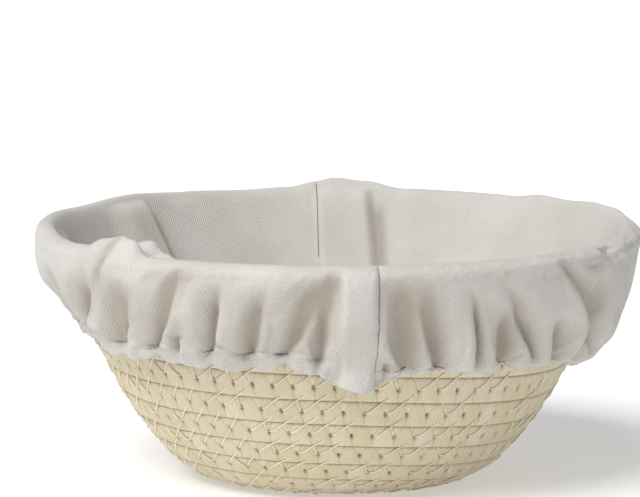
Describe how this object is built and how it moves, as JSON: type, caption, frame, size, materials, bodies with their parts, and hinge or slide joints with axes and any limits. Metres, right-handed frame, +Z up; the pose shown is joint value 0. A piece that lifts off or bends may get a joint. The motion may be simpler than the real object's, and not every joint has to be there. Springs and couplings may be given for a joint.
{
  "type": "banneton basket",
  "caption": "Round coiled plait proofing basket with a removable cloth liner folded over its rim and gathered by elastic, for proofing and carrying bread dough.",
  "frame": {"origin": "middle of the flat base, on the surface that it stands on", "axes": "+Z up along the basket's axis, -Y towards the front seam of the liner (7 degrees off it), +X to the right seen from the front"},
  "size_m": [0.2278, 0.2278, 0.0937],
  "materials": {
    "straw_plait": "natural straw plait, satin",
    "plait_thread": "glossy cream sewing thread",
    "cotton_twill": "unbleached cotton twill, matt",
    "liner_thread": "grey-beige sewing thread",
    "elastic": "flat woven elastic"
  },
  "bodies": {
    "basket": {"plait_sewing_thread": "plait_thread", "plait_turn_01": "straw_plait", "plait_turn_02": "straw_plait", "plait_turn_03": "straw_plait", "plait_turn_04": "straw_plait", "plait_turn_05": "straw_plait", "plait_turn_06": "straw_plait", "plait_turn_07": "straw_plait", "plait_turn_08": "straw_plait", "plait_turn_09": "straw_plait", "plait_turn_10": "straw_plait", "plait_turn_11": "straw_plait", "plait_turn_12": "straw_plait", "plait_turn_13": "straw_plait", "plait_turn_14": "straw_plait", "plait_turn_15": "straw_plait", "plait_turn_16": "straw_plait"},
    "liner": {"liner_back_seam_thread": "liner_thread", "liner_bottom_panel": "cotton_twill", "liner_bottom_seam_thread": "liner_thread", "liner_cuff_left": "cotton_twill", "liner_cuff_right": "cotton_twill", "liner_front_seam_thread": "liner_thread", "liner_hem_casing": "cotton_twill", "liner_hem_elastic": "elastic", "liner_hem_frill": "cotton_twill", "liner_hem_thread": "liner_thread", "liner_side_panel_left": "cotton_twill", "liner_side_panel_right": "cotton_twill"}
  },
  "joints": [
    {"name": "liner_lift", "type": "slide", "parent": "basket", "child": "liner", "axis": [0, 0, 1], "range_m": [0, 0.12], "deforming": ["liner_cuff_left", "liner_cuff_right", "liner_hem_casing", "liner_hem_frill", "liner_hem_elastic", "liner_hem_thread", "liner_front_seam_thread", "liner_back_seam_thread"]}
  ]
}
